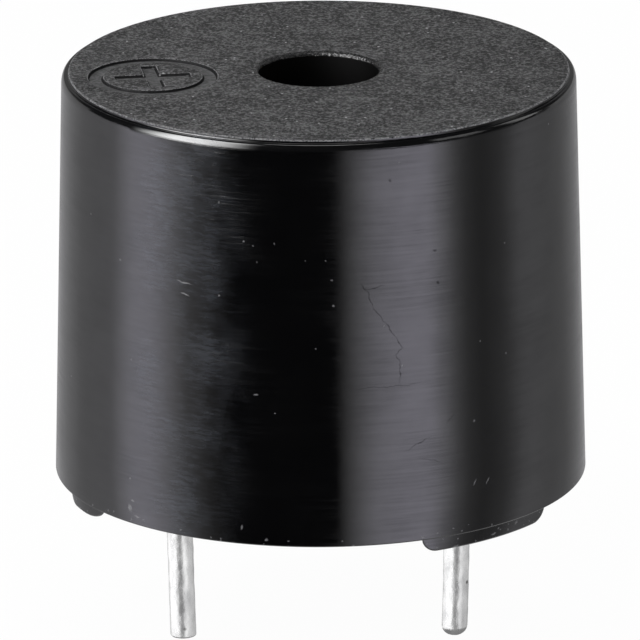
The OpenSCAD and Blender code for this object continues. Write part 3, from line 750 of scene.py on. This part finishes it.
def resin_rings():
    """Rings of points across the resin, each with whether it is one of the resin's borders."""
    rings = []
    for inset in WALL_RINGS:
        turns = [math.tau * i / RESIN_SIDES for i in range(RESIN_SIDES)]
        ring = [polar(RESIN_R - inset, a).to_2d() for a in turns]
        if inset:
            ring = [p for p in ring if from_pins(p) > PIN_RINGS[-1] + RING_GAP]
        rings.append((ring, inset == 0))
    for pin_x in (-PIN_X, PIN_X):
        for outset in PIN_RINGS:
            turns = [math.tau * i / PIN_SIDES for i in range(PIN_SIDES)]
            ring = [Vector((pin_x, 0)) + polar(PIN_HOLE_R + outset, a).to_2d() for a in turns]
            rings.append((ring, outset == 0))
    return rings


def skin_height(point):
    """Height of the resin's lower skin, drawn up at the wall and round the pins."""
    at_wall = WALL_RISE * math.exp(-(RESIN_R - point.length) / WALL_REACH)
    at_pin = PIN_RISE * math.exp(-max(from_pins(point), 0) / PIN_REACH)
    wave = WAVE_H * noise.noise(Vector((point.x / WAVE_W, point.y / WAVE_W, 3)))
    return RESIN_Z - at_wall - at_pin + wave


def border_edges(faces):
    """Edges that only one of the faces has."""
    uses = {}
    for face in faces:
        for i, v in enumerate(face):
            edge = frozenset((v, face[(i + 1) % len(face)]))
            uses[edge] = uses.get(edge, 0) + 1
    return [tuple(edge) for edge, count in uses.items() if count == 1]


def cast_resin():
    """The resin as one closed mesh: its skin below and the board's underside above."""
    points, borders = [], []
    for ring, is_border in resin_rings():
        first = len(points)
        points += ring
        if is_border:
            borders += [(first + i, first + (i + 1) % len(ring)) for i in range(len(ring))]
    found = delaunay_2d_cdt(points, borders, [], 0, SAME_POINT, True)
    flat, count = found[0], len(found[0])
    skin = []
    for face in found[2]:
        if from_pins(sum((flat[v] for v in face), Vector((0, 0))) / len(face)) > 0:
            skin.append(face)
    faces = skin + [[count + v for v in reversed(face)] for face in skin]
    faces += [(a, b, count + b, count + a) for a, b in border_edges(skin)]
    below = [(p.x, p.y, skin_height(p)) for p in flat]
    above = [(p.x, p.y, board_low.z) for p in flat]
    piece = new_piece("resin_seal_skin", below + above, faces, [resin])
    shade(piece, 40)
    finished(piece, "black_resin", "resin_seal")


cast_resin()

# ---------------------------------------------------------------- sealed movement

FINISHES = {
    # Green resist over a glass weave: satin and a little cloudy
    "board_laminate": mottled("resist_coated_laminate", "#1d4a2b", "#275a35", patch_w=0.8,
                              rough=(0.3, 0.45), grain_w=0.12, grain_depth=0.004, IOR=1.55),
    # Bare after etching: warm and satin, with paler patches
    "copper": mottled("etched_copper", "#b8734e", "#cf8a60", patch_w=0.5, rough=(0.3, 0.45),
                      grain_w=0.05, grain_depth=0.003, Metallic=1.0),
    # Cooled from the melt: bright, with a soft ripple
    "solder": mottled("tin_solder", "#aeb0b2", "#d3d4d5", patch_w=0.3, rough=(0.22, 0.4), grain_w=0.12,
                      grain_depth=0.01, Metallic=1.0),
    # Filled with ground quartz: charcoal and nearly without gloss
    "component_black": mottled("moulded_epoxy", "#1a1a1b", "#252526", patch_w=0.4, rough=(0.45, 0.6),
                               grain_w=0.03, grain_depth=0.003, IOR=1.55),
    # Enamel baked on drawn wire: a deep colour under a clear gloss
    "lead_black": mottled("black_enamelled_wire", "#101011", "#1c1c1d", patch_w=0.5, rough=(0.2, 0.3),
                          grain_w=0.2, grain_depth=0.003, IOR=1.5),
    "lead_red": mottled("red_enamelled_wire", "#8a1a12", "#a52a1c", patch_w=0.5, rough=(0.2, 0.3),
                        grain_w=0.2, grain_depth=0.003, IOR=1.5),
    "lead_blue": mottled("blue_enamelled_wire", "#1f3f8c", "#2f55a8", patch_w=0.5, rough=(0.2, 0.3),
                         grain_w=0.2, grain_depth=0.003, IOR=1.5),
    # Rolled and blanked: yellow, with a soft sheen that wanders over the plate
    "brass_plate": mottled("rolled_brass", "#b28d43", "#caa65a", patch_w=0.9, rough=(0.24, 0.38),
                           grain_w=0.04, grain_depth=0.002, Metallic=1.0),
    # Fired and lapped: matt cream
    "piezo_ceramic": mottled("fired_ceramic", "#cbbd96", "#d9ccaa", patch_w=0.6, rough=(0.55, 0.7),
                             grain_w=0.03, grain_depth=0.004, IOR=1.6),
    # Screen printed and fired: a whitish metal without mirror
    "silver_film": mottled("printed_silver", "#bdbdb8", "#d4d4cf", patch_w=0.6, rough=(0.38, 0.55),
                           grain_w=0.04, grain_depth=0.004, Metallic=1.0),
    # Cured in air from a bead: milky, with a soft gloss
    "silicone_glue": mottled("cured_silicone", "#b9bab8", "#cdcecb", patch_w=0.7, rough=(0.35, 0.5),
                             grain_w=0.15, grain_depth=0.008, IOR=1.41),
}
SLOT_OF = {
    "board_laminate": ("circuit_board",),
    "copper": ("copper_tracks",),
    "solder": ("pin_solder", "transistor_legs", "bias_resistor_caps", "load_resistor_caps",
               "feedback_resistor_caps", "board_lead_solder", "disc_lead_solder"),
    "component_black": ("transistor_body", "bias_resistor", "load_resistor", "feedback_resistor"),
    "lead_black": ("plate_lead",),
    "lead_red": ("drive_lead",),
    "lead_blue": ("feedback_lead",),
    "brass_plate": ("diaphragm_plate",),
    "piezo_ceramic": ("ceramic_disc",),
    "silver_film": ("drive_electrode", "feedback_electrode"),
    "silicone_glue": ("glue_ring",),
}
for slot_name, nodes in SLOT_OF.items():
    for node in nodes:
        for material_slot in frame["nodes"][node].material_slots:
            material_slot.material = FINISHES[slot_name]

# ---------------------------------------------------------------- camera

CAMERA_AZIMUTH, CAMERA_ELEVATION = -8.2, 17.21
CAMERA_DISTANCE = 261.5
CAMERA_TARGET = Vector((0, 0, 5.05))
CAMERA_AIM_DROP = 1.24  # how far below the target the camera aims
CAMERA_ROLL = -0.289
CAMERA_LENS, SENSOR_W = 653, 36


def direction(azimuth, elevation):
    """Unit vector to a place round the object: azimuth 0 is the front (-Y) and 90 is +X."""
    a, e = math.radians(azimuth), math.radians(elevation)
    return Vector((math.sin(a) * math.cos(e), -math.cos(a) * math.cos(e), math.sin(e)))


def add_camera():
    """A long-lens camera a little above and to the left of the front, with the part in full frame."""
    data = bpy.data.cameras.new("camera")
    data.lens, data.sensor_width = CAMERA_LENS, SENSOR_W
    data.clip_start, data.clip_end = 0.01, 5
    camera = bpy.data.objects.new("camera", data)
    bpy.context.scene.collection.objects.link(camera)
    back = direction(CAMERA_AZIMUTH, CAMERA_ELEVATION)
    right = Vector((0, 0, 1)).cross(back).normalized()
    up = back.cross(right)
    position = CAMERA_TARGET + back * CAMERA_DISTANCE
    towards = CAMERA_TARGET - up * CAMERA_AIM_DROP - position
    roll = Matrix.Rotation(math.radians(CAMERA_ROLL), 4, "Z")
    camera.matrix_world = (Matrix.Translation(position * MM)
                           @ towards.to_track_quat("-Z", "Y").to_matrix().to_4x4() @ roll)
    bpy.context.scene.camera = camera


add_camera()

# ---------------------------------------------------------------- studio

FLOOR_Z = negative_end
FLOOR_HALF = 600
AMBIENT = 0.5           # light from all round, where 1 is white
TENT_R = 150            # a paper tent that only the gloss sees, under a dark hood
TENT_LOW, TENT_HIGH = -110, 8
TENT_SIDES = 96
TENT_LEVEL = 3.0        # the level that 1 stands for in TENT_TONES
HOOD_ROWS = 8
CARD_STEPS = 24
CARD_GAP = 5            # from the tent in to the cards
SLEEVE_R = 2.2          # a paper sleeve round each pin, which only the pin's gloss sees
SLEEVE_LOW, SLEEVE_HIGH = -4.75, -1.05
SLEEVE_LEVEL = 1.15
CLOTH_SIDES = 48
SLEEVE_TONES = ((-180, 0.3), (-150, 0.5), (-115, 1.1), (-60, 1.1), (-36, 1.0), (-24, 0.6),
                (-14, 0.3), (6, 0.28), (15, 0.62), (24, 0.92), (42, 0.88), (60, 0.6), (115, 0.54),
                (150, 0.4), (180, 0.3))
PAPER_TINT = (1, 0.97, 1.12, 1)
SLEEVE_TINT = (1, 1, 1, 1)
# Level of the tent by the azimuth it is seen at, from the camera's azimuth
TENT_TONES = ((-180, 0.15), (-126, 0.18), (-114, 0.23), (-102, 0.31), (-96, 0.5), (-90, 0.7),
              (-84, 0.77), (-78, 0.76), (-72, 0.63), (-66, 0.45), (-60, 0.24), (-48, 0.08),
              (-42, 0.03), (-36, 0.0), (-28, 0.0), (7, 0.0), (12, 0.22), (18, 0.5), (24, 0.75),
              (30, 0.85), (37, 0.95), (48, 0.93), (54, 0.62), (60, 0.3), (66, 0.14), (74, 0.08),
              (86, 0.12), (97, 0.24), (104, 0.23), (120, 0.15), (132, 0.125), (180, 0.15))


GLOSS_ONLY = {"camera": False, "diffuse": False, "shadow": False, "transmission": False}


def stage_piece(name, points, faces, material, **seen_by):
    """A piece of the studio; seen_by switches which rays see it."""
    mesh = bpy.data.meshes.new(name)
    mesh.from_pydata([Vector(p) * MM for p in points], [], faces)
    mesh.materials.append(material)
    piece = bpy.data.objects.new(name, mesh)
    bpy.context.scene.collection.objects.link(piece)
    for ray, seen in seen_by.items():
        setattr(piece, "visible_" + ray, seen)
    return piece


def emission(name, **sockets):
    """A material with only an emission shader: the material, its tree and that shader."""
    material = bpy.data.materials.new(name)
    material.use_nodes = True
    tree = material.node_tree
    tree.nodes.clear()
    glow = add(tree, "ShaderNodeEmission", sockets)
    add(tree, "ShaderNodeOutputMaterial", {"Surface": glow})
    return material, tree, glow


def tent_paper(name, tones, tint, level):
    """Paper lit brighter and darker round its turn from the camera's azimuth."""
    material, tree, glow = emission(name + "_paper", Strength=level)
    objects = add(tree, "ShaderNodeTexCoord").outputs["Object"]
    turned_place = add(tree, "ShaderNodeVectorRotate",
                       {"Vector": objects, "Angle": math.radians(-CAMERA_AZIMUTH)},
                       rotation_type="Z_AXIS")
    place = add(tree, "ShaderNodeSeparateXYZ", {0: turned_place})
    back_y = add(tree, "ShaderNodeMath", {0: place.outputs["Y"], 1: -1.0}, operation="MULTIPLY")
    angle = add(tree, "ShaderNodeMath", {0: place.outputs["X"], 1: back_y}, operation="ARCTAN2")
    turn = add(tree, "ShaderNodeMapRange", {0: angle, FROM_LOW: -math.pi, FROM_HIGH: math.pi})
    ramp = add(tree, "ShaderNodeValToRGB", {0: turn})
    stops = ramp.color_ramp.elements
    while len(stops) < len(tones):
        stops.new(0.5)
    for stop, (azimuth, tone) in zip(stops, tones):
        stop.position = (azimuth + 180) / 360
        stop.color = (tone, tone, tone, 1)
    tinted = add(tree, "ShaderNodeMix", {FACTOR: ramp, COLOUR_A: (1, 1, 1, 1), COLOUR_B: tint},
                 data_type="RGBA")
    colour = add(tree, "ShaderNodeMix", {FACTOR: 1.0, COLOUR_A: ramp,
                                         COLOUR_B: tinted.outputs[COLOUR_OUT]},
                 data_type="RGBA", blend_type="MULTIPLY")
    tree.links.new(colour.outputs[COLOUR_OUT], glow.inputs["Color"])
    return material


def add_tent(name, radius, low, high, tones, tint, level):
    """A paper tent between two heights, seen only in the gloss."""
    turns = [math.tau * i / TENT_SIDES for i in range(TENT_SIDES)]
    points = [polar(radius, a, z) for z in (low, high) for a in turns]
    faces = [(i, (i + 1) % TENT_SIDES, TENT_SIDES + (i + 1) % TENT_SIDES, TENT_SIDES + i)
             for i in range(TENT_SIDES)]
    return stage_piece(name, points, faces, tent_paper(name, tones, tint, level), **GLOSS_ONLY)


def add_hood():
    """A dark hood over the tent, so that the casing's rounded edge stays black."""
    material = emission("hood_cloth", Color=linear("#3c3c3d"))[0]
    rises = [math.radians(90 * row / HOOD_ROWS) for row in range(HOOD_ROWS)]
    turns = [math.tau * i / TENT_SIDES for i in range(TENT_SIDES)]
    points = [polar(TENT_R * math.cos(rise), a, TENT_HIGH + TENT_R * math.sin(rise))
              for rise in rises for a in turns]
    faces = []
    for row in range(HOOD_ROWS - 1):
        near, far = row * TENT_SIDES, (row + 1) * TENT_SIDES
        for i in range(TENT_SIDES):
            after = (i + 1) % TENT_SIDES
            faces.append((near + i, near + after, far + after, far + i))
    faces.append([(HOOD_ROWS - 1) * TENT_SIDES + i for i in range(TENT_SIDES)])
    stage_piece("hood", points, faces, material, **GLOSS_ONLY)


def add_card(name, azimuths, elevations, level, fades=(0, 0, 0)):
    """A bright card on the tent between two azimuths and two elevations, seen only in the gloss; it
    fades out over these angles at its first and last azimuth, and at both elevations."""
    width, height = azimuths[1] - azimuths[0], elevations[1] - elevations[0]
    points, levels = [], []
    for j in range(CARD_STEPS + 1):
        for i in range(CARD_STEPS + 1):
            along, up = i / CARD_STEPS, j / CARD_STEPS
            points.append(direction(CAMERA_AZIMUTH + azimuths[0] + width * along,
                                    elevations[0] + height * up) * (TENT_R - CARD_GAP))
            insets = (width * along, width * (1 - along), height * min(up, 1 - up))
            shares = [min(inset / fade, 1) if fade else 1 for inset, fade in zip(insets, fades)]
            levels.append(math.prod(share * share * (3 - 2 * share) for share in shares))
    row = CARD_STEPS + 1
    faces = [(j * row + i, j * row + i + 1, j * row + i + row + 1, j * row + i + row)
             for j in range(CARD_STEPS) for i in range(CARD_STEPS)]
    material, tree, glow = emission(name + "_paper")
    share = add(tree, "ShaderNodeAttribute", attribute_name="share").outputs["Fac"]
    strength = add(tree, "ShaderNodeMath", {0: share, 1: level}, operation="MULTIPLY")
    tree.links.new(strength.outputs[0], glow.inputs["Strength"])
    card = stage_piece(name, points, faces, material, **GLOSS_ONLY)
    card.data.attributes.new("share", "FLOAT", "POINT").data.foreach_set("value", levels)


def add_sleeve(name, x):
    """A paper sleeve round a pin at x, over a dark cloth that the pin's rounded end sees."""
    sleeve = add_tent(name, SLEEVE_R, SLEEVE_LOW, SLEEVE_HIGH, SLEEVE_TONES, SLEEVE_TINT, SLEEVE_LEVEL)
    material = emission(name + "_cloth", Strength=0.25)[0]
    points = [polar(SLEEVE_R, math.tau * i / CLOTH_SIDES, SLEEVE_LOW) for i in range(CLOTH_SIDES)]
    cloth = stage_piece(name + "_cloth", points, [range(CLOTH_SIDES)], material, **GLOSS_ONLY)
    sleeve.location.x = cloth.location.x = x * MM


def add_floor():
    """A pale floor that meets the white background and keeps the object's shadow."""
    material = bpy.data.materials.new("floor_paper")
    material.use_nodes = True
    tree = material.node_tree
    shader = tree.nodes["Principled BSDF"]
    shader.inputs["Base Color"].default_value = linear("#f4f4f4")
    shader.inputs["Roughness"].default_value = 0.9
    glow = add(tree, "ShaderNodeEmission", {"Strength": 1.0})
    rays = add(tree, "ShaderNodeLightPath")
    share = add(tree, "ShaderNodeMath", {0: rays.outputs["Is Camera Ray"], 1: 0.97},
                operation="MULTIPLY")
    mixed = add(tree, "ShaderNodeMixShader", {0: share, 1: shader, 2: glow})
    tree.links.new(mixed.outputs[0], tree.nodes["Material Output"].inputs["Surface"])
    corners = [(x * FLOOR_HALF, y * FLOOR_HALF, FLOOR_Z) for x, y in ((-1, -1), (1, -1), (1, 1), (-1, 1))]
    stage_piece("floor", corners, [(0, 1, 2, 3)], material, glossy=False)


def add_world():
    """Even light from all round; camera, gloss and glass see plain white."""
    world = bpy.data.worlds.new("studio")
    bpy.context.scene.world = world
    world.use_nodes = True
    tree = world.node_tree
    white = tree.nodes["Background"]
    white.inputs["Color"].default_value = (1, 1, 1, 1)
    white.inputs["Strength"].default_value = 1.0
    rays = add(tree, "ShaderNodeLightPath")
    seen = add(tree, "ShaderNodeMath", {0: rays.outputs["Is Camera Ray"],
                                        1: rays.outputs["Is Glossy Ray"]}, operation="MAXIMUM")
    seen = add(tree, "ShaderNodeMath", {0: seen, 1: rays.outputs["Is Transmission Ray"]},
               operation="MAXIMUM")
    dim = add(tree, "ShaderNodeBackground", {"Color": (1, 1, 1, 1), "Strength": AMBIENT})
    mixed = add(tree, "ShaderNodeMixShader", {0: seen, 1: dim, 2: white})
    tree.links.new(mixed.outputs[0], tree.nodes["World Output"].inputs["Surface"])


def add_lamp(name, azimuth, elevation, distance, size, level):
    """A soft lamp aimed at the object; a white face turned to it gains this level."""
    data = bpy.data.lights.new(name, "AREA")
    data.size = size * MM
    data.energy = level * (math.pi * distance * MM) ** 2
    lamp = bpy.data.objects.new(name, data)
    bpy.context.scene.collection.objects.link(lamp)
    back = direction(azimuth, elevation)
    lamp.location = (back * distance + Vector((0, 0, TOP_Z / 2))) * MM
    lamp.rotation_mode = "QUATERNION"
    lamp.rotation_quaternion = (-back).to_track_quat("-Z", "Y")
    lamp.visible_glossy = False


add_floor()
add_tent("tent", TENT_R, TENT_LOW, TENT_HIGH, TENT_TONES, PAPER_TINT, TENT_LEVEL)
add_sleeve("sleeve_positive", -PIN_X)
add_sleeve("sleeve_negative", PIN_X)
add_hood()
add_card("card_over", azimuths=(0, 360), elevations=(78, 89), level=4)
add_card("card_key", azimuths=(-90, -26), elevations=(-3, 54), level=17, fades=(26, 28, 8))
add_card("card_side", azimuths=(52, 76), elevations=(14, 30), level=1.5)
add_card("card_back", azimuths=(94, 112), elevations=(12, 40), level=2)
add_card("card_rear", azimuths=(120, 240), elevations=(1, 13), level=0.5)
add_card("card_land", azimuths=(135, 225), elevations=(13, 24), level=0.2)
add_world()
add_lamp("lamp_key", CAMERA_AZIMUTH - 50, elevation=42, distance=220, size=90, level=0.35)
add_lamp("lamp_over", 0, elevation=84, distance=240, size=120, level=0.25)

bpy.context.scene.view_settings.view_transform = "Standard"
